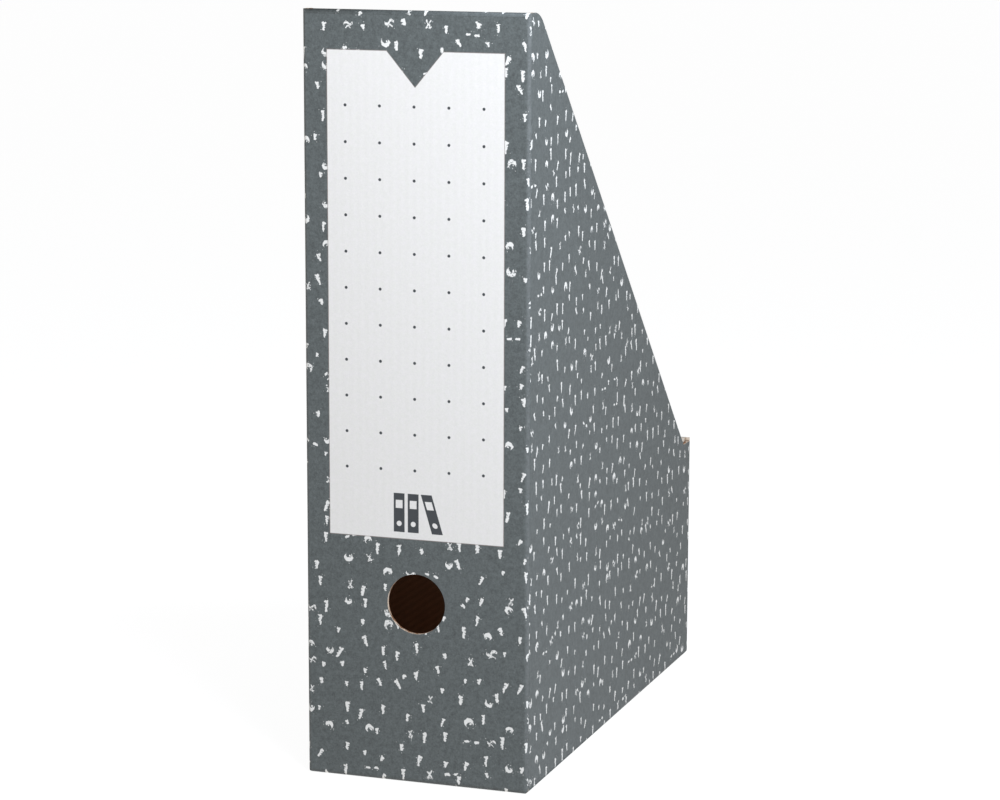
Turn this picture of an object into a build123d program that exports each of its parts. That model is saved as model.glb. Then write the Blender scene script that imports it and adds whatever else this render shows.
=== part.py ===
from build123d import *
import math
import os

# Magazine file holder: one die-cut blank of three-ply corrugated board, folded up
# into a tall open tray. Millimetres. +Z is up, the tall spine faces -Y, and the
# origin is the centre of the footprint on the surface that the holder stands on.

# Overall size
WIDTH = 98.0
DEPTH = 245.0
HEIGHT = 322.0
LOW_HEIGHT = 107.0

# Board: a printed liner, a wavy fluting and a kraft liner
LINER = 0.2
FLUTING_SHEET = 0.2
CORE = 1.2
BOARD = 2 * LINER + CORE
FLUTE_PITCH = 3.5
FLUTE_CREST = 0.7

# Folds, and the room between layers. The folds into the end flaps are tighter.
FOLD_RADIUS = 1.8
FLAP_FOLD_RADIUS = 0.6
CORNER_RADIUS = 2.0
LAYER_PLAY = 0.1
HINGE_CLEARANCE = 0.05
SIDE_PLAY = 0.3
TOP_PLAY = 0.2

# Side panels: flat top flush with the spine's, a straight slope, a short ledge at the low end
SLOPE_START = 12.0
LEDGE_LENGTH = 12.0
TOP_CORNER_RADIUS = 16.0
LEDGE_CORNER_RADIUS = 2.0

# End flaps of the side panels, held between each end wall and its lining
TALL_FLAP_WIDTH = 48.5
TALL_FLAP_TAPER = 4.0
SHORT_FLAP_WIDTH = 40.0
SHORT_FLAP_TAPER = 9.0

# Linings: the end walls roll over at the top and hang down inside
SPINE_LINING_GAP = 3.2
LOW_END_LINING_GAP = 1.0

# Finger hole in the spine, wider through the flaps and the lining behind it
HOLE_HEIGHT = 77.1
HOLE_RADIUS = 12.75
INNER_HOLE_RADIUS = 15.5

# Worked-out places
HALF_WIDTH = WIDTH / 2
HALF_DEPTH = DEPTH / 2
END_STACK = 3 * BOARD + 2 * LAYER_PLAY
FLAP_DEPTH = BOARD + LAYER_PLAY
SIDE_END = HALF_DEPTH - FLAP_DEPTH - BOARD
ROLLED_EDGE = HALF_WIDTH - BOARD
HINGE_GAP = FOLD_RADIUS + HINGE_CLEARANCE
FLAP_TOP = HEIGHT - BOARD - TOP_PLAY
LEDGE_TOP = LOW_HEIGHT - BOARD - TOP_PLAY
LINING_HALF_WIDTH = HALF_WIDTH - BOARD - SIDE_PLAY

# Plane of each panel: its origin is on the printed face, its Z points into the tray
# and its Y points up, or away from the spine on the base
BASE_PLANE = Plane.XY
SPINE_PLANE = Plane((0, -HALF_DEPTH, 0), x_dir=(-1, 0, 0), z_dir=(0, 1, 0))
LOW_END_PLANE = Plane((0, HALF_DEPTH, 0), x_dir=(1, 0, 0), z_dir=(0, -1, 0))
LEFT_PLANE = Plane((-HALF_WIDTH, 0, 0), x_dir=(0, 1, 0), z_dir=(1, 0, 0))
TALL_FLAP_PLANE = Plane((-HALF_WIDTH, FLAP_DEPTH - HALF_DEPTH, 0), x_dir=(-1, 0, 0), z_dir=(0, 1, 0))
SHORT_FLAP_PLANE = Plane((-HALF_WIDTH, HALF_DEPTH - FLAP_DEPTH, 0), x_dir=(1, 0, 0), z_dir=(0, -1, 0))
SPINE_LINING_PLANE = Plane((0, END_STACK - HALF_DEPTH, 0), x_dir=(1, 0, 0), z_dir=(0, -1, 0))
LOW_END_LINING_PLANE = Plane((0, HALF_DEPTH - END_STACK, 0), x_dir=(-1, 0, 0), z_dir=(0, 1, 0))

os.makedirs("parts", exist_ok=True)


def write(node, shape):
    """Writes one node's solid, under the node's name."""
    shape.label = node
    export_step(shape, f"parts/{node}.step")


def fluting_section(length):
    """Outline of the wavy sheet over a length: flat where it is glued to a liner, straight between."""
    count = round(length / FLUTE_PITCH)
    pitch = length / count
    rise = CORE - FLUTING_SHEET
    run = pitch / 2 - FLUTE_CREST
    corner = FLUTING_SHEET * math.tan(math.atan2(rise, run) / 2)
    wide = FLUTE_CREST / 2 + corner
    narrow = FLUTE_CREST / 2 - corner
    upper = [(0, CORE), (wide, CORE)]
    lower = [(0, rise), (narrow, rise)]
    for flute in range(count):
        trough = (flute + 0.5) * pitch
        crest = (flute + 1) * pitch
        upper += [(trough - narrow, FLUTING_SHEET), (trough + narrow, FLUTING_SHEET)]
        upper += [(crest - wide, CORE), (crest + wide, CORE)]
        lower += [(trough - wide, 0), (trough + wide, 0)]
        lower += [(crest - narrow, rise), (crest + narrow, rise)]
    upper[-1] = (length, CORE)
    lower[-1] = (length, rise)
    return upper + lower[::-1]


def fluting(outline, flutes_up):
    """The fluting under an outline, in the panel's own plane, from the first liner to the second."""
    low = outline.bounding_box().min
    size = outline.bounding_box().size
    if flutes_up:
        points = [(low.X + along, low.Y, LINER + high) for along, high in fluting_section(size.X)]
        direction = Vector(0, size.Y, 0)
    else:
        points = [(low.X, low.Y + along, LINER + high) for along, high in fluting_section(size.Y)]
        direction = Vector(size.X, 0, 0)
    block = Solid.extrude(Face(Wire.make_polygon(points, close=True)), direction)
    is_rectangle = math.isclose(outline.area, size.X * size.Y, rel_tol=1e-6)
    return block if is_rectangle else block & extrude(outline, BOARD)


def plies(outline, flutes_up):
    """The three plies of a panel, in its own plane, all of the same outline."""
    return {
        "printed_liner": extrude(outline, LINER),
        "fluting": fluting(outline, flutes_up),
        "kraft_liner": Pos(0, 0, BOARD - LINER) * extrude(outline, LINER),
    }


def panel(name, plane, shapes, mirrored_name=None):
    """Writes a panel's plies in place, and those of its mirror image on the other side if it has one."""
    for ply, shape in shapes.items():
        placed = plane.location * shape
        write(f"{name}_{ply}", placed)
        if mirrored_name:
            write(f"{mirrored_name}_{ply}", mirror(placed, Plane.YZ))


def rectangle(left, right, low, high):
    return Pos((left + right) / 2, (low + high) / 2) * Rectangle(right - left, high - low)


def end_wall(name, plane, top, cut_out=None):
    """An end wall, and its upright edges, where the printed liner is rolled round over the core."""
    low = FOLD_RADIUS
    high = top - FOLD_RADIUS
    flat = rectangle(-ROLLED_EDGE, ROLLED_EDGE, low, high)
    inner_radius = BOARD - LINER
    kraft_edge = ROLLED_EDGE + math.sqrt(inner_radius**2 - LINER**2)
    backing = rectangle(-kraft_edge, kraft_edge, low, high)
    if cut_out:
        flat -= cut_out
        backing -= cut_out
    outer = CenterArc((ROLLED_EDGE, BOARD), BOARD, -90, 90)
    inner = CenterArc((ROLLED_EDGE, BOARD), inner_radius, -90, 90)
    section = make_face(outer + Line(outer @ 1, inner @ 1) + inner + Line(inner @ 0, outer @ 0))
    roll = extrude(Plane.XZ.offset(-high) * section, high - low)
    shapes = plies(flat, flutes_up=True)
    shapes["kraft_liner"] = Pos(0, 0, BOARD - LINER) * extrude(backing, LINER)
    panel(name, plane, shapes)
    edge = plane.location * roll
    names = ("left", "right") if edge.center().X < 0 else ("right", "left")
    write(f"{name}_{names[0]}_edge", edge)
    write(f"{name}_{names[1]}_edge", mirror(edge, Plane.YZ))


def fold_section(flat=0.0):
    """Section of a right-angled fold, its outer corner at the origin, after a flat strip if it has one."""
    inner_radius = FOLD_RADIUS - BOARD
    centre = (FOLD_RADIUS, FOLD_RADIUS)
    outer = CenterArc(centre, FOLD_RADIUS, 180, 90)
    inner = CenterArc(centre, inner_radius, 180, 90)
    end = FOLD_RADIUS + flat
    path = Polyline(outer @ 1, (end, 0), (end, BOARD), inner @ 1) if flat else Line(outer @ 1, inner @ 1)
    return make_face(outer + path + inner + Line(inner @ 0, outer @ 0))


def fold(plane, start, end, flat=0.0):
    """A fold swept between two places along its plane's Z."""
    return plane.location * Pos(0, 0, start) * extrude(fold_section(flat), end - start)


def tight_fold(plane, top):
    """The fold between a side panel and an end flap, pressed nearly square."""
    section = Pos(BOARD / 2, BOARD / 2) * Rectangle(BOARD, BOARD)
    corner = section.vertices().sort_by_distance((0, 0))[0]
    section = fillet(corner, FLAP_FOLD_RADIUS)
    return plane.location * Pos(0, 0, HINGE_GAP) * extrude(section, top - HINGE_GAP)


def room_for_top_fold():
    """Space beside the spine's top fold, which is deeper than the wall below it."""
    start = FOLD_RADIUS + HINGE_CLEARANCE
    return Pos(0, start - HALF_DEPTH - END_STACK / 2, HEIGHT) * Box(2 * WIDTH, END_STACK, 2 * start)


def end_corners(side, top):
    """Space that an end's folds keep to: outer corners rounded in plan, bottom corners in elevation."""
    plan = Pos(0, side * (HALF_DEPTH - END_STACK / 2)) * Rectangle(WIDTH, END_STACK)
    plan = fillet(plan.vertices().group_by(Axis.Y)[-1 if side > 0 else 0], BOARD)
    elevation = Pos(0, top / 2) * Rectangle(WIDTH, top)
    elevation = fillet(elevation.vertices().group_by(Axis.Y)[0], CORNER_RADIUS)
    return extrude(plan, top) & extrude(Plane.XZ * elevation, HALF_DEPTH, both=True)


def side_outline():
    """Outline of the left side panel, from the spine to the low end and up from its bottom fold."""
    slope_top = SLOPE_START - HALF_DEPTH
    ledge_start = HALF_DEPTH - LEDGE_LENGTH
    line = Polyline(
        (-SIDE_END, HINGE_GAP),
        (SIDE_END, HINGE_GAP),
        (SIDE_END, LEDGE_TOP),
        (ledge_start, LEDGE_TOP),
        (slope_top, HEIGHT),
        (-SIDE_END, HEIGHT),
        close=True,
    )
    outline = make_face(line)
    ledge_corner = outline.vertices().sort_by_distance((ledge_start, LEDGE_TOP))[0]
    outline = fillet(ledge_corner, LEDGE_CORNER_RADIUS)
    top_corner = outline.vertices().sort_by_distance((slope_top, HEIGHT))[0]
    return fillet(top_corner, TOP_CORNER_RADIUS)


def flap_outline(direction, width, root_height, taper):
    """Outline of an end flap from its fold to its free edge, lower towards the free edge."""
    points = [
        (direction * BOARD, HINGE_GAP),
        (direction * width, HINGE_GAP),
        (direction * width, root_height - taper),
        (direction * BOARD, root_height),
    ]
    return make_face(Polyline(*points, close=True))


def finger_hole(centre, radius):
    return Pos(centre, HOLE_HEIGHT) * Circle(radius)


def base():
    half_width = HALF_WIDTH - FOLD_RADIUS
    half_depth = HALF_DEPTH - FOLD_RADIUS
    outline = rectangle(-half_width, half_width, -half_depth, half_depth)
    panel("base", BASE_PLANE, plies(outline, flutes_up=True))


def end_walls():
    end_wall("spine", SPINE_PLANE, HEIGHT, cut_out=finger_hole(0, HOLE_RADIUS))
    end_wall("low_end", LOW_END_PLANE, LOW_HEIGHT)


def linings():
    half = LINING_HALF_WIDTH
    spine = rectangle(-half, half, BOARD + SPINE_LINING_GAP, HEIGHT - HINGE_GAP)
    spine -= finger_hole(0, INNER_HOLE_RADIUS)
    panel("spine_lining", SPINE_LINING_PLANE, plies(spine, flutes_up=True))
    low_end = rectangle(-half, half, BOARD + LOW_END_LINING_GAP, LOW_HEIGHT - HINGE_GAP)
    panel("low_end_lining", LOW_END_LINING_PLANE, plies(low_end, flutes_up=True))


def sides():
    panel("left_side", LEFT_PLANE, plies(side_outline(), flutes_up=False), "right_side")
    tall = flap_outline(-1, TALL_FLAP_WIDTH, FLAP_TOP, TALL_FLAP_TAPER)
    tall -= finger_hole(-HALF_WIDTH, INNER_HOLE_RADIUS)
    panel("left_tall_flap", TALL_FLAP_PLANE, plies(tall, flutes_up=False), "right_tall_flap")
    short = flap_outline(1, SHORT_FLAP_WIDTH, LEDGE_TOP, SHORT_FLAP_TAPER)
    panel("left_short_flap", SHORT_FLAP_PLANE, plies(short, flutes_up=False), "right_short_flap")


def side_folds():
    """Folds between the base and each side panel, and between each side panel and its end flaps."""
    half_depth = HALF_DEPTH - FOLD_RADIUS
    bottom = Plane((-HALF_WIDTH, 0, 0), x_dir=(1, 0, 0), z_dir=(0, -1, 0))
    tall = Plane((-HALF_WIDTH, FLAP_DEPTH - HALF_DEPTH, 0), x_dir=(1, 0, 0), z_dir=(0, 0, 1))
    short = Plane((-HALF_WIDTH, HALF_DEPTH - FLAP_DEPTH, 0), x_dir=(0, -1, 0), z_dir=(0, 0, 1))
    folds = {
        "{}_side_bottom_fold": fold(bottom, -half_depth, half_depth),
        "{}_tall_flap_fold": tight_fold(tall, HEIGHT) - room_for_top_fold(),
        "{}_short_flap_fold": tight_fold(short, LEDGE_TOP),
    }
    for name, shape in folds.items():
        write(name.format("left"), shape)
        write(name.format("right"), mirror(shape, Plane.YZ))


def end_folds():
    """Folds of each end: at the base, at the wall's top, and the roll over into the lining."""
    ends = {"spine": (-1, HEIGHT), "low_end": (1, LOW_HEIGHT)}
    for name, (side, top) in ends.items():
        outer = side * HALF_DEPTH
        inner = side * (HALF_DEPTH - END_STACK)
        along = (-side, 0, 0)
        bottom = Plane((0, outer, 0), x_dir=(0, -side, 0), z_dir=along)
        top_outer = Plane((0, outer, top), x_dir=(0, 0, -1), z_dir=along)
        top_inner = Plane((0, inner, top), x_dir=(0, side, 0), z_dir=along)
        web = END_STACK - FOLD_RADIUS - HINGE_GAP
        corners = end_corners(side, top)
        write(f"{name}_bottom_fold", fold(bottom, -HALF_WIDTH, HALF_WIDTH) & corners)
        write(f"{name}_top_fold", fold(top_outer, -HALF_WIDTH, HALF_WIDTH) & corners)
        write(f"{name}_roll_fold", fold(top_inner, -LINING_HALF_WIDTH, LINING_HALF_WIDTH, flat=web))


base()
end_walls()
linings()
sides()
side_folds()
end_folds()
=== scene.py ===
import math

import bmesh
import bpy
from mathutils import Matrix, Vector


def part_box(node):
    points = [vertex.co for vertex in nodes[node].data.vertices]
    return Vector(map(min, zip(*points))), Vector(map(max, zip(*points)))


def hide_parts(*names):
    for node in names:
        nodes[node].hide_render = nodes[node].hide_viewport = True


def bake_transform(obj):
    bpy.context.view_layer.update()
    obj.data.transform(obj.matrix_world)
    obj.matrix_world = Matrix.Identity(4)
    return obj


# Magazine file holder of printed corrugated board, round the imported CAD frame.
# The scene is in metres. Sizes and patterns are worked out in millimetres of the object's own space.

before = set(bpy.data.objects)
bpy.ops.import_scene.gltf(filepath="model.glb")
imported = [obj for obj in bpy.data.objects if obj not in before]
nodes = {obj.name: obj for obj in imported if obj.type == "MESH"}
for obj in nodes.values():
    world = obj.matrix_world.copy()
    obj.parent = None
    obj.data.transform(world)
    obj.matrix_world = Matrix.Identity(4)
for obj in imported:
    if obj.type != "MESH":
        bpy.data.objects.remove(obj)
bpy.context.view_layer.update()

MM = 0.001


def limit(node, corner, axis):
    """Where a CAD node begins (corner 0) or ends (corner 1) along an axis, in millimetres."""
    return round(getattr(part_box(node)[corner], axis) / MM, 3)


# Sizes of the CAD, read from its nodes
HALF_WIDTH = limit("spine_right_edge", 1, "x")
HALF_DEPTH = limit("low_end_printed_liner", 1, "y")
HEIGHT = limit("spine_top_fold", 1, "z")
LOW_HEIGHT = limit("low_end_top_fold", 1, "z")
BOARD = limit("base_kraft_liner", 1, "z")
FOLD_RADIUS = limit("right_side_bottom_fold", 1, "z")
HINGE_CLEARANCE = limit("right_side_kraft_liner", 0, "z") - FOLD_RADIUS
END_STACK = HALF_DEPTH + limit("spine_lining_printed_liner", 1, "y")
LINING_HALF_WIDTH = limit("spine_lining_printed_liner", 1, "x")
ROLL_FLAT = END_STACK - 2 * FOLD_RADIUS - HINGE_CLEARANCE

FLUTE_PITCH = 3.5

# Creases: steps round the bend, layers through the board, and half a band across the bend's middle, in
# millimetres
CREASE_STEPS = 21
CREASE_LAYERS = 5
CREASE_PARTING = 0.0025

# Label printed on the spine, in millimetres
LABEL_HALF_WIDTH = 38.2
LABEL_LOW = 104.7
LABEL_HIGH = 305.7
NOTCH_HALF_WIDTH = 12.3
NOTCH_DEPTH = 14.6
DOT_LEFT = -30.4
DOT_TOP = 283.4
DOT_PITCH = 14.98
DOT_COLUMNS = 5
DOT_ROWS = 11
DOT_RADIUS = 0.64
PRINT_SOFTNESS = 0.12

# Pictogram at the label's foot, in millimetres. Each folder has a middle, and a lean to the left
# for each millimetre of height.
PICTOGRAM_HEIGHT = 115.6
FOLDERS = ((-7.4, 0.0), (-1.2, 0.0), (7.0, 0.3))
FOLDER_HALF_WIDTH = 2.4
FOLDER_HALF_HEIGHT = 8.2
FOLDER_LABEL_HALF_WIDTH = 1.5
FOLDER_LABEL_HALF_HEIGHT = 1.7
FOLDER_LABEL_RISE = 3.6
FOLDER_HOLE_RADIUS = 1.1
FOLDER_HOLE_DROP = 4.6
PICTOGRAM_SOFTNESS = 0.06

# Print of white brush marks: spacings and how far outlines are pushed about, in millimetres, and
# the marks' usual size against their drawn outlines
FLECK_SPACING = 8.9
DUST_SPACING = 1.1
PUSH_ACROSS = 1.5
PUSH_UP = 1.2
FLECK_SIZE = 0.94

# Wear of the ink at the holder's upright edges: how far in it reaches and how unevenly, in millimetres
EDGE_WEAR = 1.1
EDGE_WEAR_UNEVEN = 1.6
END_WEAR = 4.4
END_WEAR_UNEVEN = 3.0

# Depths of the surfaces' relief, in millimetres
PRINT_RELIEF = 0.035
KRAFT_RELIEF = 0.05

# Shifts that give each plane its own stretch of the print, in millimetres
INSIDE_SHIFT = 400.0
LEFT_SHIFT = 331.0
GROUND_SHIFT = 517.0

# Camera, at the photograph's viewpoint: metres, degrees, millimetres of lens, and shares of the frame
CAMERA_PLACE = (0.4414, -1.2912, 0.3877)
CAMERA_TURN = (79.941, -0.165, 19.039)
CAMERA_LENS = 111.33
CAMERA_SENSOR = 36
CAMERA_SHIFT = (-0.0050, -0.0066)

# Studio: each light has a place and a target in metres, a size in metres, a power in watts and a colour
WORLD_STRENGTH = 0.25
LIGHTS = {
    "key": ((0.42, -0.4, 0.62), (0, -0.05, 0.2), 0.4, 7.7, (0.77, 0.87, 1.0)),
    "front": ((0.0, -0.34, 0.72), (0, -0.12, 0.28), 0.35, 0.6, (1.0, 0.97, 0.93)),
}
FLOOR_SIZE = 40
FLOOR_DROP = 0.0003
FLOOR_GREY = (0.2, 0.2, 0.2, 1.0)
FLOOR_GLOW = 0.92
WHITE = (1.0, 1.0, 1.0, 1.0)


def linear(red, green, blue):
    """A colour from 0 to 255 as it looks on a screen, as the linear colour that shaders take."""
    shares = [channel / 255 for channel in (red, green, blue)]
    return tuple(s / 12.92 if s <= 0.04045 else ((s + 0.055) / 1.055) ** 2.4 for s in shares) + (1.0,)


INK = linear(81, 85, 84)
INK_WORN = linear(136, 132, 130)
PAPER = linear(214, 211, 206)
LABEL_PAPER = linear(211, 206, 202)
LABEL_PAPER_DULL = linear(209, 205, 199)
LABEL_INK = linear(58, 60, 62)
LABEL_RIM = linear(124, 112, 106)
RAW_EDGE = linear(205, 190, 174)
KRAFT = linear(176, 133, 101)
KRAFT_DARK = linear(137, 95, 68)
FLUTING = linear(172, 148, 124)


class Number:
    """A number that varies over a surface: an output socket, with arithmetic that adds maths nodes."""

    def __init__(self, graph, socket):
        self.graph = graph
        self.socket = socket

    def __add__(self, other):
        return self.graph.math("ADD", self, other)

    def __sub__(self, other):
        return self.graph.math("SUBTRACT", self, other)

    def __rsub__(self, other):
        return self.graph.math("SUBTRACT", other, self)

    def __mul__(self, other):
        return self.graph.math("MULTIPLY", self, other)

    def __truediv__(self, other):
        return self.graph.math("DIVIDE", self, other)

    def __neg__(self):
        return self.graph.math("MULTIPLY", self, -1.0)

    def __abs__(self):
        return self.graph.math("ABSOLUTE", self)

    __radd__ = __add__
    __rmul__ = __mul__

    def above(self, edge, soft=0.02):
        """1 where the number is above the edge, 0 below it, with a soft step between."""
        return self.graph.step(self, edge, soft)

    def below(self, edge, soft=0.02):
        """1 where the number is below the edge, 0 above it, with a soft step between."""
        return 1.0 - self.graph.step(self, edge, soft)


class Graph:
    """Adds nodes to the tree of a material or of a node group."""

    def __init__(self, tree):
        self.tree = tree

    def feed(self, socket, value):
        """Links a varying value to a socket, or sets the socket to a constant."""
        if isinstance(value, Number):
            self.tree.links.new(value.socket, socket)
        elif isinstance(value, bpy.types.NodeSocket):
            self.tree.links.new(value, socket)
        else:
            socket.default_value = value

    def node(self, kind, settings=None, **inputs):
        node = self.tree.nodes.new(kind)
        for key, value in (settings or {}).items():
            setattr(node, key, value)
        for key, value in inputs.items():
            self.feed(node.inputs[key], value)
        return node

    def math(self, operation, *values):
        node = self.node("ShaderNodeMath", {"operation": operation})
        for socket, value in zip(node.inputs, values):
            self.feed(socket, value)
        return Number(self, node.outputs[0])

    def least(self, first, *others):
        for other in others:
            first = self.math("MINIMUM", first, other)
        return first

    def most(self, first, *others):
        for other in others:
            first = self.math("MAXIMUM", first, other)
        return first

    def clip(self, value, low, high):
        return self.least(self.most(value, low), high)

    def length(self, x, y):
        return self.math("SQRT", x * x + y * y)

    def step(self, value, edge, soft):
        node = self.node("ShaderNodeMapRange", {"interpolation_type": "SMOOTHSTEP"}, Value=value)
        node.inputs["From Min"].default_value = edge - soft
        node.inputs["From Max"].default_value = edge + soft
        return Number(self, node.outputs["Result"])

    def choose(self, mask, off, on):
        return off + (on - off) * mask

    def point(self, x, y, z=0.0):
        return self.node("ShaderNodeCombineXYZ", X=x, Y=y, Z=z).outputs[0]

    def parts(self, vector):
        node = self.node("ShaderNodeSeparateXYZ", Vector=vector)
        return [Number(self, socket) for socket in node.outputs]

    def noise(self, vector, scale, detail=2.0, roughness=0.5):
        """Noise about 0.5 with features about 1/scale millimetres across: a number, and three apart."""
        inputs = {"Vector": vector, "Scale": scale, "Detail": detail, "Roughness": roughness}
        node = self.node("ShaderNodeTexNoise", **inputs)
        return Number(self, node.outputs[0]), self.parts(node.outputs[1])

    def cells(self, vector, spacing, scatter):
        """A flat pattern of cells about one spacing apart, the more uneven the more they scatter."""
        inputs = {"Vector": vector, "Scale": 1 / spacing, "Randomness": scatter}
        return self.node("ShaderNodeTexVoronoi", {"voronoi_dimensions": "2D"}, **inputs)

    def blend_colour(self, mask, off, on):
        """The first colour where the mask is 0, the second where it is 1."""
        node = self.node("ShaderNodeMix", {"data_type": "RGBA"})
        self.feed(node.inputs["Factor"], mask)
        for socket, colour in ((node.inputs[6], off), (node.inputs[7], on)):
            self.feed(socket, colour)
        return node.outputs[2]

    def tint(self, colour, tone):
        """A colour, lighter or darker by a tone that varies over the surface."""
        node = self.node("ShaderNodeMix", {"data_type": "RGBA", "blend_type": "MULTIPLY"})
        node.inputs["Factor"].default_value = 1.0
        self.feed(node.inputs[6], colour)
        self.feed(node.inputs[7], self.point(tone, tone, tone))
        return node.outputs[2]


# Outlines of the brush marks, as distances in millimetres: below 0 inside a mark, above 0 outside


def upright_stroke(g, x, y, pick, size):
    """Upright stroke with a flag at its top and a toothed edge; three in ten are only short commas."""
    thickness = 0.46
    flag_x = 0.6
    short_half = 0.65 + size * 0.3
    long_half = 1.3 + size * 0.85
    half = g.choose(pick.above(0.3, soft=0.01), short_half, long_half)
    bar = g.length(x + y * 0.1, y - g.clip(y, -half, half)) - thickness
    flag = g.length((x - flag_x) * 0.75, (y - half + 0.2) * 0.95) - thickness
    zigzag = abs(g.math("PINGPONG", y + 4.0, 0.55) - 0.1) * 0.8
    teeth = abs(x - flag_x) + zigzag - 0.32
    return g.least(bar, flag, g.most(teeth, abs(y) - half * 0.8))


def curl(g, x, y, pick):
    """Crescent that opens up or down, with a nub inside."""
    outer_radius = 1.9
    inner_radius = 1.3
    nub_radius = 0.36
    turned = y * g.math("SIGN", pick - 0.5)
    crescent = g.most(g.length(x, turned) - outer_radius, inner_radius - g.length(x - 0.35, turned + 1.1))
    return g.least(crescent, g.length(x - 0.7, (turned + 0.45) * 0.8) - nub_radius)


def scribble(g, x, y):
    """Two thin crossed strokes over a level third."""
    thickness = 0.3
    reach = 2.1
    rising = abs(x * 0.92 - y * 0.4)
    falling = abs(x * 0.8 + y * 0.6)
    level = abs(y + 1.3) + 0.08
    return g.most(g.least(rising, falling, level) - thickness, g.length(x * 1.35, y) - reach)


def waves(g, x, y):
    """A thick wavy stroke over a thinner one."""
    upper_thickness = 0.55
    lower_thickness = 0.32
    reach = 2.3
    upper = abs(y - g.math("SINE", x * 1.5) * 0.7) - upper_thickness
    lower = abs(y + 1.75 - g.math("COSINE", x * 1.7) * 0.6) - lower_thickness
    return g.most(g.least(upper, lower), g.length(x, y * 0.9) - reach)


def dashes(g, x, y):
    """Two level dashes side by side."""
    thickness = 0.5
    half = 0.7
    from_middle = 2.1
    dash_x = abs(x) - from_middle
    return g.length(dash_x - g.clip(dash_x, -half, half), y) - thickness


def fleck_group():
    """Node group: white brush marks, mostly upright, scattered over a plane. U and V are millimetres."""
    tree = bpy.data.node_groups.new("fleck_print", "ShaderNodeTree")
    for axis in "UV":
        tree.interface.new_socket(axis, in_out="INPUT", socket_type="NodeSocketFloat")
    tree.interface.new_socket("Mask", in_out="OUTPUT", socket_type="NodeSocketFloat")
    g = Graph(tree)
    entry = tree.nodes.new("NodeGroupInput")
    across, up = (Number(g, entry.outputs[axis]) for axis in "UV")
    plane = g.point(across, up)

    # One mark to a cell, with its own random numbers
    cells = g.cells(plane, FLECK_SPACING, scatter=0.78)
    kind, lean, grow = g.parts(cells.outputs["Color"])
    centre = g.parts(cells.outputs["Position"])
    dice = g.node("ShaderNodeTexWhiteNoise", {"noise_dimensions": "2D"}, Vector=cells.outputs["Position"])
    pick, side, size = g.parts(dice.outputs["Color"])

    # Uneven outlines: the place is pushed about by noise before the marks are drawn
    _, push = g.noise(plane, scale=0.62, detail=2.0, roughness=0.55)
    x = across - centre[0] + (push[0] - 0.5) * PUSH_ACROSS
    y = up - centre[1] + (push[1] - 0.5) * PUSH_UP

    # Each mark leans a little, a few of them much more, and some are mirrored
    tilt = g.math("POWER", abs(lean - 0.5) * 2.0, 3.0) * g.math("SIGN", lean - 0.5) * 0.6
    turn_sin = g.math("SINE", tilt)
    turn_cos = g.math("COSINE", tilt)
    mirror = g.math("SIGN", side - 0.4)
    swell = FLECK_SIZE + (grow - 0.5) * 0.3
    x, y = (x * turn_cos + y * turn_sin) * mirror / swell, (y * turn_cos - x * turn_sin) / swell

    # Most marks are strokes. Another kind takes the cells whose random number is above its start.
    chosen = upright_stroke(g, x, y, pick, size)
    others = (
        (0.70, curl(g, x, y, pick)),
        (0.84, scribble(g, x, y)),
        (0.92, waves(g, x, y)),
        (0.97, dashes(g, x, y)),
    )
    for start, mark in others:
        chosen = g.choose(kind.above(start, soft=0.001), chosen, mark)

    # Dry-brush gaps, most of them in the scribbles and waves
    grain, _ = g.noise(plane, scale=2.3, detail=2.0, roughness=0.7)
    gaps, _ = g.noise(g.point(across, up, 7.0), scale=1.3, detail=2.0, roughness=0.6)
    solid = (chosen + (grain - 0.5) * 0.5).below(0.0, soft=0.12)
    thin = kind.above(0.82, soft=0.001) * kind.below(0.97, soft=0.001)
    brushed = solid * (gaps + (1.0 - thin) * 0.2).above(0.42, soft=0.06)

    # Faint dust, thicker round the marks
    dust = g.cells(plane, DUST_SPACING, scatter=1.0)
    speck = g.parts(dust.outputs["Color"])
    near = chosen.below(1.2, soft=0.8)
    dusting = (Number(g, dust.outputs["Distance"]) + (grain - 0.5) * 0.5).below(0.16, soft=0.04)
    dusting = dusting * speck[0].above(0.87, soft=0.02) * (0.03 + near * 0.75)
    leave = tree.nodes.new("NodeGroupOutput")
    g.feed(leave.inputs["Mask"], g.most(brushed, dusting))
    return tree


FLECKS = fleck_group()


class Surface:
    """A material being made: its graph, the place and direction of each point, and its shader."""

    def __init__(self, name, specular):
        self.material = bpy.data.materials.new(name)
        self.material.use_nodes = True
        tree = self.material.node_tree
        tree.nodes.clear()
        self.graph = Graph(tree)
        place = self.graph.node("ShaderNodeTexCoord")
        self.x, self.y, self.z = (axis / MM for axis in self.graph.parts(place.outputs["Object"]))
        self.facing = self.graph.parts(place.outputs["Normal"])
        self.place = self.graph.point(self.x, self.y, self.z)
        self.shader = self.graph.node("ShaderNodeBsdfPrincipled")
        self.shader.inputs["Specular IOR Level"].default_value = specular
        output = self.graph.node("ShaderNodeOutputMaterial")
        tree.links.new(self.shader.outputs[0], output.inputs["Surface"])

    def towards(self, direction):
        """How far the surface faces a direction, from -1 to 1."""
        shares = [axis * share for axis, share in zip(self.facing, direction) if share]
        total = shares[0]
        for share in shares[1:]:
            total = total + share
        return total

    def finish(self, colour, height, depth, roughness):
        """Links the colour, the roughness, and a bump of a height from 0 to 1 and a depth in mm."""
        g = self.graph
        g.feed(self.shader.inputs["Base Color"], colour)
        g.feed(self.shader.inputs["Roughness"], roughness)
        bump = g.node("ShaderNodeBump", Height=height)
        bump.inputs["Strength"].default_value = 1.0
        bump.inputs["Distance"].default_value = depth * MM
        g.feed(self.shader.inputs["Normal"], bump.outputs[0])
        return self.material


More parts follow.
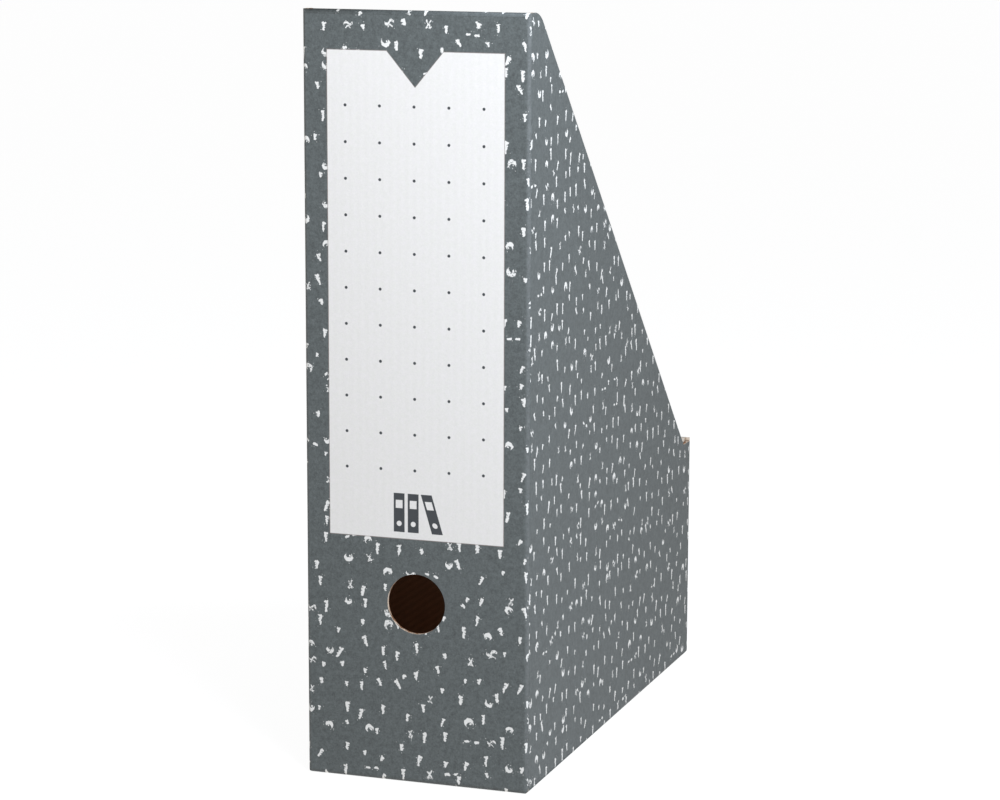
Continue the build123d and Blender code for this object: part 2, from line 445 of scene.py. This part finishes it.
def cut_board_colour(surface, scale, detail, roughness):
    """Colour of cut board, pale brown with fine fibres, and the noise that the fibres come from."""
    g = surface.graph
    fibre, _ = g.noise(surface.place, scale, detail, roughness)
    return g.blend_colour(fibre.above(0.5, soft=0.25), FLUTING, RAW_EDGE), fibre


def washboard(surface, along):
    """The faint ridges of the fluting under a liner, from 0 to 1, along an axis in millimetres."""
    return surface.graph.math("SINE", along * (2 * math.pi / FLUTE_PITCH)) * 0.5 + 0.5


def pictogram(surface):
    """Generic mark at the foot of the label: three folders, the last one leaning."""
    g = surface.graph
    up = surface.z - PICTOGRAM_HEIGHT
    label_up = abs(up - FOLDER_LABEL_RISE) - FOLDER_LABEL_HALF_HEIGHT
    folders = []
    for middle, lean in FOLDERS:
        x = surface.x - middle + up * lean
        outline = g.most(abs(x) - FOLDER_HALF_WIDTH, abs(up) - FOLDER_HALF_HEIGHT)
        label = g.most(abs(x) - FOLDER_LABEL_HALF_WIDTH, label_up)
        hole = g.length(x, up + FOLDER_HOLE_DROP) - FOLDER_HOLE_RADIUS
        folder = g.most(outline, -g.least(label, hole))
        folders.append(folder.below(0.0, soft=PICTOGRAM_SOFTNESS))
    return g.most(*folders)


def label_masks(surface):
    """The label's white paper, the ink on it, and its darker rim."""
    g = surface.graph
    x, z = surface.x, surface.z
    middle = (LABEL_LOW + LABEL_HIGH) / 2
    half_height = (LABEL_HIGH - LABEL_LOW) / 2
    window = g.most(abs(x) - LABEL_HALF_WIDTH, abs(z - middle) - half_height)
    notch = LABEL_HIGH - z - (NOTCH_HALF_WIDTH - abs(x)) * (NOTCH_DEPTH / NOTCH_HALF_WIDTH)
    paper = window.below(0.0, soft=PRINT_SOFTNESS) * notch.above(0.0, soft=PRINT_SOFTNESS)
    rim = window.below(0.3, soft=0.08) * notch.above(-0.4, soft=0.1)

    # Each point is measured from the nearest dot of the grid
    column = g.math("ROUND", g.clip((x - DOT_LEFT) / DOT_PITCH, 0.0, DOT_COLUMNS - 1.0))
    row = g.math("ROUND", g.clip((DOT_TOP - z) / DOT_PITCH, 0.0, DOT_ROWS - 1.0))
    dot_x = x - DOT_LEFT - column * DOT_PITCH
    dot_z = z - DOT_TOP + row * DOT_PITCH
    dots = g.length(dot_x, dot_z).below(DOT_RADIUS, soft=0.1)
    return paper, g.most(dots, pictogram(surface)), rim


def with_label(surface, colour, paper_tone):
    """The spine's colour with the label printed over it."""
    g = surface.graph
    paper, ink, rim = label_masks(surface)
    blotch, _ = g.noise(surface.place, scale=0.45, detail=3.0, roughness=0.65)
    label_paper = g.blend_colour(blotch.above(0.5, soft=0.16), LABEL_PAPER_DULL, LABEL_PAPER)
    colour = g.blend_colour(rim * 0.7, colour, LABEL_RIM)
    colour = g.blend_colour(paper, colour, g.tint(label_paper, paper_tone))
    return g.blend_colour(paper * ink, colour, LABEL_INK)


def printed_faces(surface, outward, rolled):
    """1 on the faces that look in an outward direction, and on the whole of a rolled edge."""
    g = surface.graph
    shown = g.most(*(surface.towards(direction).above(0.3, soft=0.02) for direction in outward))
    if rolled:
        rolled_from = HALF_WIDTH - BOARD - 0.05
        shown = g.most(shown, abs(surface.x).above(rolled_from, soft=0.01))
    return shown


def printed(name, plane, outward, flute_axis, rolled=False, label=False, worn_ends=False):
    """Grey ink with white flecks on the faces that look outward, and raw board on all the others.

    plane gives the print's own two coordinates. With no outward directions, every face is printed.
    rolled adds wear along the panel's upright edges, and worn_ends takes the ink off near them.
    """
    s = Surface(name, specular=0.35)
    g = s.graph
    u, v = plane(s)
    flecks = Number(g, g.node("ShaderNodeGroup", {"node_tree": FLECKS}, U=u, V=v).outputs["Mask"])
    mottle, _ = g.noise(s.place, scale=1.3, detail=3.0, roughness=0.8)
    patches, _ = g.noise(s.place, scale=0.5, detail=4.0, roughness=0.8)
    cloud, _ = g.noise(s.place, scale=0.02, detail=2.0, roughness=0.5)
    edge, _ = g.noise(s.place, scale=0.35, detail=4.0, roughness=0.7)
    ridges = washboard(s, flute_axis(s))

    # Painted shade: faces that look up or down are darker, as the spine's top edge is
    painted_level_shade = abs(s.facing[2]) * 0.35
    ink_tone = mottle * 1.2 + patches * 1.2 + cloud * 0.08 + ridges * 0.012 - 0.24 - painted_level_shade
    paper_tone = 0.88 + mottle * 0.2 + ridges * 0.006
    colour = g.tint(INK, ink_tone)
    if rolled:
        near_edge = (abs(s.x) + (edge - 0.5) * EDGE_WEAR_UNEVEN).above(HALF_WIDTH - EDGE_WEAR, soft=1.0)
        colour = g.blend_colour(near_edge * edge * 0.25, colour, INK_WORN)
    colour = g.blend_colour(flecks, colour, g.tint(PAPER, paper_tone))
    if label:
        colour = with_label(s, colour, paper_tone)
    if worn_ends:
        worn = (abs(s.x) + (edge - 0.5) * END_WEAR_UNEVEN).above(HALF_WIDTH - END_WEAR, soft=0.5)
        colour = g.blend_colour(worn * 0.85, colour, RAW_EDGE)
    if outward:
        raw, _ = cut_board_colour(s, scale=1.6, detail=3.0, roughness=0.7)
        colour = g.blend_colour(printed_faces(s, outward, rolled), raw, colour)
    height = ridges * 0.4 + mottle * 0.25 - flecks * 0.15
    roughness = 0.56 + mottle * 0.12 + flecks * 0.1
    return s.finish(colour, height, PRINT_RELIEF, roughness)


def kraft(name, flute_axis, fibre_axis):
    """Brown kraft paper: long fibres, darker specks, and glue lines where the fluting touches."""
    s = Surface(name, specular=0.2)
    g = s.graph
    stretched = [axis * (0.18 if i == fibre_axis else 1.6) for i, axis in enumerate((s.x, s.y, s.z))]
    fibre, _ = g.noise(g.point(*stretched), scale=1.0, detail=4.0, roughness=0.7)
    speck, _ = g.noise(s.place, scale=1.1, detail=2.0, roughness=0.5)
    cloud, _ = g.noise(s.place, scale=0.03, detail=3.0, roughness=0.6)
    ridges = washboard(s, flute_axis(s))
    shade = fibre * 0.55 + cloud * 0.35 + ridges * 0.12
    colour = g.blend_colour(shade.above(0.5, soft=0.3), KRAFT_DARK, KRAFT)
    colour = g.blend_colour(speck.above(0.72, soft=0.05) * 0.4, colour, KRAFT_DARK)
    return s.finish(colour, ridges * 0.5 + fibre * 0.5, KRAFT_RELIEF, roughness=0.74 + fibre * 0.14)


def fluting_paper():
    """The wavy middle sheet and the cut edges of the board."""
    s = Surface("fluting_paper", specular=0.15)
    colour, fibre = cut_board_colour(s, scale=1.2, detail=4.0, roughness=0.75)
    grain, _ = s.graph.noise(s.place, scale=5.0, detail=2.0, roughness=0.6)
    return s.finish(colour, grain * 0.6 + fibre * 0.4, KRAFT_RELIEF, roughness=0.8 + grain * 0.12)


def crease_stations(corner, centre, first, second, flat):
    """Pairs of outer and inner points along a fold, from one panel round the bend to the other.

    They are even round the bend, with none in its middle.
    """
    stations = []
    if flat:
        end = corner + first * (FOLD_RADIUS + flat)
        stations.append((end, end + second * BOARD))
    for i in range(CREASE_STEPS + 1):
        angle = math.pi / 2 * i / CREASE_STEPS
        ray = second * math.cos(angle) + first * math.sin(angle)
        stations.append((centre - ray * FOLD_RADIUS, centre - ray * (FOLD_RADIUS - BOARD)))
    last = corner + second * (FOLD_RADIUS + HINGE_CLEARANCE)
    stations.append((last, last + first * BOARD))
    return stations


def rolled_reach(place, reach):
    """Half the fold's length at a point in an end wall's top, which follows the rolled edges below."""
    into_roll = max(abs(place.y) - HALF_DEPTH + BOARD, 0.0)
    return reach - BOARD + math.sqrt(max(BOARD**2 - into_roll**2, 0.0))


def crease_mesh(name, stations, along, reach, rounded, closed_ends):
    """The fold's solid, with its outside, its inside and its cut ends in material slots 0, 1 and 2."""
    end_slot = 0 if closed_ends else 2
    mesh = bmesh.new()
    grid = []
    for outer, inner in stations:
        column = []
        for layer in range(CREASE_LAYERS + 1):
            place = outer.lerp(inner, layer / CREASE_LAYERS)
            half = rolled_reach(place, reach) if rounded else reach
            column.append([mesh.verts.new((place + along * (half * sign)) * MM) for sign in (-1, 1)])
        grid.append(column)
    for here, there in zip(grid, grid[1:]):
        outside = (here[0][0], here[0][1], there[0][1], there[0][0])
        mesh.faces.new(outside).material_index = 0
        inside = (here[-1][1], here[-1][0], there[-1][0], there[-1][1])
        mesh.faces.new(inside).material_index = 1
        for k in range(CREASE_LAYERS):
            for end in (0, 1):
                loop = [here[k][end], there[k][end], there[k + 1][end], here[k + 1][end]]
                mesh.faces.new(loop if end else loop[::-1]).material_index = end_slot
    for column in (grid[0], grid[-1]):
        for k in range(CREASE_LAYERS):
            loop = (column[k][0], column[k][1], column[k + 1][1], column[k + 1][0])
            mesh.faces.new(loop).material_index = 2
    bmesh.ops.recalc_face_normals(mesh, faces=mesh.faces)
    data = bpy.data.meshes.new(name)
    mesh.to_mesh(data)
    mesh.free()
    for polygon in data.polygons:
        polygon.use_smooth = True
    return data


def crease(
    name,
    stands_for,
    corner,
    first,
    second,
    reach,
    covering,
    flat=0.0,
    rounded=False,
    closed_ends=False,
):
    """A right-angled fold as a solid of its own, in place of the CAD fold that it hides.

    corner is a point on the fold's outer corner line, first and second are the directions from it
    along the two panels, and reach is half the fold's length along the third direction. flat is the
    flat board before the bend. rounded ends follow the end wall's rolled edges, and closed ends
    are printed. covering is the materials of the outside, the inside and the cut ends.
    """
    corner, first, second = Vector(corner), Vector(first), Vector(second)
    along = Vector([1.0 - abs(a) - abs(b) for a, b in zip(first, second)])
    centre = corner + (first + second) * FOLD_RADIUS
    stations = crease_stations(corner, centre, first, second, flat)
    data = crease_mesh(name, stations, along, reach, rounded, closed_ends)
    for material in covering:
        data.materials.append(material)
    piece = bpy.data.objects.new(name, data)
    bpy.context.scene.collection.objects.link(piece)
    parting = (second - first) * CREASE_PARTING
    (centre - parting) * MM
    (centre + parting) * MM
    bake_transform(piece)
    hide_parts(stands_for)


# Planes of the print: two coordinates in millimetres for each point of a panel


def upright(s):
    """Plane of the end walls, carried round their rolled edges."""
    round_edge = (HALF_DEPTH - abs(s.y)) * s.graph.math("SIGN", s.x)
    return s.x + round_edge, s.z


def upright_inside(s):
    """Plane of the linings and the end flaps."""
    return s.x, s.z + INSIDE_SHIFT


def lengthwise(s):
    """Plane of the right side, carried under its bottom fold."""
    return s.y, s.z - (HALF_WIDTH - abs(s.x))


def lengthwise_left(s):
    """Plane of the left side, the right one's mirrored and moved along."""
    return LEFT_SHIFT - s.y, s.z - (HALF_WIDTH - abs(s.x))


def ground(s):
    """Plane of the base."""
    return s.x + GROUND_SHIFT, s.y


def over_the_top(s):
    """Plane of the end walls, carried over their top and bottom folds."""
    return s.x, s.z + HALF_DEPTH - abs(s.y)


# Axes that run across the fluting, for its faint ridges


def along_x(s):
    return s.x


def along_y(s):
    return s.y


def along_z(s):
    return s.z


FRONT, BACK, LEFT, RIGHT, DOWN = (0, -1, 0), (0, 1, 0), (-1, 0, 0), (1, 0, 0), (0, 0, -1)

# Panels: the plane of each one's print, the way the print looks, and the axis across its fluting
PANELS = {
    "spine": dict(plane=upright, outward=[FRONT], flute_axis=along_x, rolled=True, label=True),
    "low_end": dict(plane=upright, outward=[BACK], flute_axis=along_x, rolled=True),
    "spine_lining": dict(plane=upright_inside, outward=[BACK], flute_axis=along_x),
    "low_end_lining": dict(plane=upright_inside, outward=[FRONT], flute_axis=along_x),
    "left_side": dict(plane=lengthwise_left, outward=[LEFT], flute_axis=along_z),
    "right_side": dict(plane=lengthwise, outward=[RIGHT], flute_axis=along_z),
    "left_tall_flap": dict(plane=upright_inside, outward=[FRONT], flute_axis=along_z),
    "right_tall_flap": dict(plane=upright_inside, outward=[FRONT], flute_axis=along_z),
    "left_short_flap": dict(plane=upright_inside, outward=[BACK], flute_axis=along_z),
    "right_short_flap": dict(plane=upright_inside, outward=[BACK], flute_axis=along_z),
    "base": dict(plane=ground, outward=[DOWN], flute_axis=along_x),
}

# Folds that don't open, described in the same way
FOLDS = {
    "left_tall_flap_fold": dict(plane=lengthwise_left, outward=[LEFT, FRONT], flute_axis=along_z),
    "right_tall_flap_fold": dict(plane=lengthwise, outward=[RIGHT, FRONT], flute_axis=along_z),
    "left_short_flap_fold": dict(plane=lengthwise_left, outward=[LEFT, BACK], flute_axis=along_z),
    "right_short_flap_fold": dict(plane=lengthwise, outward=[RIGHT, BACK], flute_axis=along_z),
    "spine_bottom_fold": dict(plane=over_the_top, outward=[FRONT, DOWN], flute_axis=along_x),
    "low_end_bottom_fold": dict(plane=over_the_top, outward=[BACK, DOWN], flute_axis=along_x),
}

# Axis that the kraft's fibres follow: 0, 1 or 2, by a word in the panel's name
FIBRES = {"base": 0, "side": 1, "flap": 0, "spine": 2, "low_end": 2}


def paint(node, material):
    for material_slot in nodes[node].material_slots:
        material_slot.material = material


def paint_frame(fluting_material):
    """Gives every CAD node its material."""
    for panel, look in PANELS.items():
        print_material = printed(f"{panel}_print", **look)
        paint(f"{panel}_printed_liner", print_material)
        if look.get("rolled"):
            paint(f"{panel}_left_edge", print_material)
            paint(f"{panel}_right_edge", print_material)
        paint(f"{panel}_fluting", fluting_material)
        fibre_axis = next(axis for word, axis in FIBRES.items() if word in panel)
        paint(f"{panel}_kraft_liner", kraft(f"{panel}_kraft", look["flute_axis"], fibre_axis))
    for node, look in FOLDS.items():
        paint(node, printed(f"{node}_print", **look))


def add_creases(fluting_material):
    """Creases of their own, in place of the CAD's folds."""
    crease_kraft = kraft("crease_kraft", along_y, fibre_axis=1)
    for side, sign, plane in (("left", -1, lengthwise_left), ("right", 1, lengthwise)):
        cover = printed(f"{side}_crease_print", plane, outward=None, flute_axis=along_z)
        crease(
            f"{side}_side_bottom_crease",
            stands_for=f"{side}_side_bottom_fold",
            corner=(sign * HALF_WIDTH, 0, 0),
            first=(-sign, 0, 0),
            second=(0, 0, 1),
            reach=HALF_DEPTH - FOLD_RADIUS,
            covering=(cover, crease_kraft, fluting_material),
        )
    for end, sign, top in (("spine", -1, HEIGHT), ("low_end", 1, LOW_HEIGHT)):
        cover = printed(
            f"{end}_crease_print",
            over_the_top,
            outward=None,
            flute_axis=along_x,
            rolled=True,
            worn_ends=end == "low_end",
        )
        crease(
            f"{end}_top_crease",
            stands_for=f"{end}_top_fold",
            corner=(0, sign * HALF_DEPTH, top),
            first=(0, 0, -1),
            second=(0, -sign, 0),
            reach=HALF_WIDTH,
            covering=(cover, crease_kraft, fluting_material),
            rounded=True,
            closed_ends=end == "spine",
        )
        crease(
            f"{end}_roll_crease",
            stands_for=f"{end}_roll_fold",
            corner=(0, sign * (HALF_DEPTH - END_STACK), top),
            first=(0, sign, 0),
            second=(0, 0, -1),
            reach=LINING_HALF_WIDTH,
            covering=(cover, crease_kraft, fluting_material),
            flat=ROLL_FLAT,
        )


def area_light(name, place, target, size, power, colour):
    data = bpy.data.lights.new(name, "AREA")
    data.shape = "SQUARE"
    data.size = size
    data.energy = power
    data.color = colour
    light = bpy.data.objects.new(name, data)
    bpy.context.scene.collection.objects.link(light)
    light.location = place
    light.rotation_euler = (Vector(target) - Vector(place)).to_track_quat("-Z", "Y").to_euler()


def pale_floor():
    """A plain white floor just under the holder. Its own glow keeps it even."""
    bpy.ops.mesh.primitive_plane_add(size=FLOOR_SIZE, location=(0, 0, -FLOOR_DROP))
    floor = bpy.context.object
    floor.name = "floor"
    surface = bpy.data.materials.new("floor")
    surface.use_nodes = True
    shader = surface.node_tree.nodes["Principled BSDF"]
    shader.inputs["Base Color"].default_value = FLOOR_GREY
    shader.inputs["Roughness"].default_value = 0.9
    shader.inputs["Emission Color"].default_value = WHITE
    shader.inputs["Emission Strength"].default_value = FLOOR_GLOW
    floor.data.materials.append(surface)


def add_camera():
    data = bpy.data.cameras.new("camera")
    data.lens = CAMERA_LENS
    data.sensor_width = CAMERA_SENSOR
    data.shift_x, data.shift_y = CAMERA_SHIFT
    data.clip_start = 0.05
    data.clip_end = 100
    camera = bpy.data.objects.new("camera", data)
    bpy.context.scene.collection.objects.link(camera)
    camera.location = CAMERA_PLACE
    camera.rotation_euler = [math.radians(angle) for angle in CAMERA_TURN]
    bpy.context.scene.camera = camera


def studio():
    """A pale floor, soft light from the right and from above the front, and the camera."""
    bpy.context.scene.view_settings.view_transform = "Standard"
    world = bpy.data.worlds.new("studio")
    world.use_nodes = True
    background = world.node_tree.nodes["Background"]
    background.inputs["Color"].default_value = WHITE
    background.inputs["Strength"].default_value = WORLD_STRENGTH
    bpy.context.scene.world = world
    for name, settings in LIGHTS.items():
        area_light(name, *settings)
    pale_floor()
    add_camera()


fluting_material = fluting_paper()
paint_frame(fluting_material)
add_creases(fluting_material)
studio()
